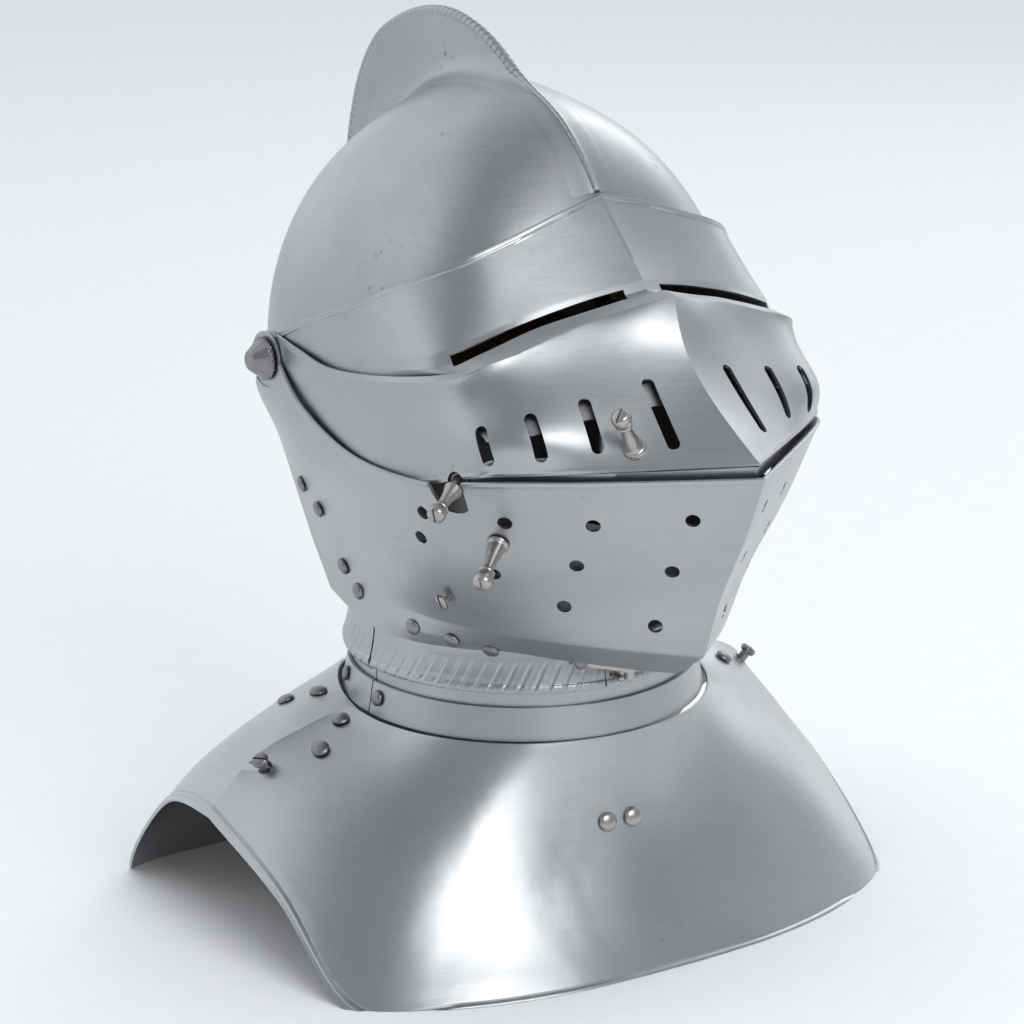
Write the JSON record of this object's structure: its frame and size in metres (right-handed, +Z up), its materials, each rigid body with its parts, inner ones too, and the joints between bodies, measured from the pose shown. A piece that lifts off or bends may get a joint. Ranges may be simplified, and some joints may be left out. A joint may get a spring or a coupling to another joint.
{
  "type": "close helmet with gorget",
  "caption": "Steel close helmet with a high roped comb, pivoting visor, slotted ventail and pierced bevor, turning on a flared two-plate gorget.",
  "frame": {"origin": "middle of the box on plan, on the floor the gorget stands on", "axes": "+Z up, the face looks along -Y, the wearer's right is -X"},
  "size_m": [0.3384, 0.3626, 0.4369],
  "materials": {
    "plate_steel": "satin",
    "bright_steel": "bright",
    "dark_steel": "satin",
    "leather_brown": "matte",
    "linen": "matte"
  },
  "bodies": {
    "gorget": {"gorget_front_plate": "plate_steel", "gorget_back_plate": "plate_steel", "collar_lower_front": "plate_steel", "collar_lower_back": "plate_steel", "collar_upper_front": "plate_steel", "collar_upper_back": "plate_steel", "gorget_rivets": "dark_steel", "breast_rivets": "bright_steel", "shoulder_stud_right": "dark_steel", "shoulder_stud_left": "dark_steel"},
    "skull": {"skull": "plate_steel", "comb": "plate_steel", "nape_plate": "plate_steel", "nape_rivets": "dark_steel", "liner_cap": "linen", "lining_band": "leather_brown", "pivot_spacers": "plate_steel", "pivot_bolt_right": "dark_steel", "pivot_bolt_left": "dark_steel", "pivot_nuts": "dark_steel", "rosette_right": "bright_steel", "rosette_left": "bright_steel"},
    "visor": {"visor": "plate_steel"},
    "bevor": {"bevor": "plate_steel", "neck_lame_right": "plate_steel", "neck_lame_left": "plate_steel", "bevor_rivets": "dark_steel", "bevor_peg": "bright_steel", "hook_rivet": "dark_steel", "hook_stud": "dark_steel", "catch_plate": "dark_steel"},
    "ventail": {"ventail": "plate_steel", "ventail_strip": "plate_steel", "ventail_peg": "bright_steel", "locking_spring": "dark_steel"},
    "locking_pin": {"locking_pin": "bright_steel"},
    "hook_bar": {"hook_bar": "bright_steel"},
    "turn_catch": {"turn_catch": "bright_steel"}
  },
  "joints": [
    {"name": "helmet_turn", "type": "hinge", "parent": "gorget", "child": "skull", "pos_m": [0, 0.016, 0.1315], "axis": [0, 0, 1], "range_deg": [-30, 30]},
    {"name": "visor_lift", "type": "hinge", "parent": "skull", "child": "visor", "pos_m": [0, 0.081, 0.274], "axis": [-1, 0, 0], "range_deg": [0, 34]},
    {"name": "bevor_lift", "type": "hinge", "parent": "skull", "child": "bevor", "pos_m": [0, 0.081, 0.274], "axis": [-1, 0, 0], "range_deg": [0, 33]},
    {"name": "ventail_lift", "type": "hinge", "parent": "bevor", "child": "ventail", "pos_m": [0, 0.081, 0.274], "axis": [-1, 0, 0], "range_deg": [0, 45]},
    {"name": "locking_pin_pull", "type": "slide", "parent": "ventail", "child": "locking_pin", "axis": [-0.8016, -0.4609, -0.3808], "range_m": [0, 0.003], "stiffness_N_per_m": 400, "springref_m": -0.002},
    {"name": "hook_swing", "type": "hinge", "parent": "bevor", "child": "hook_bar", "pos_m": [-0.02497, -0.07109, 0.1455], "axis": [-0.2756, -0.9613, 0], "range_deg": [0, 12]},
    {"name": "catch_turn", "type": "hinge", "parent": "bevor", "child": "turn_catch", "pos_m": [-0.0862, -0.049, 0.182], "axis": [-0.823, -0.3011, -0.4817], "range_deg": [0, 90]}
  ]
}
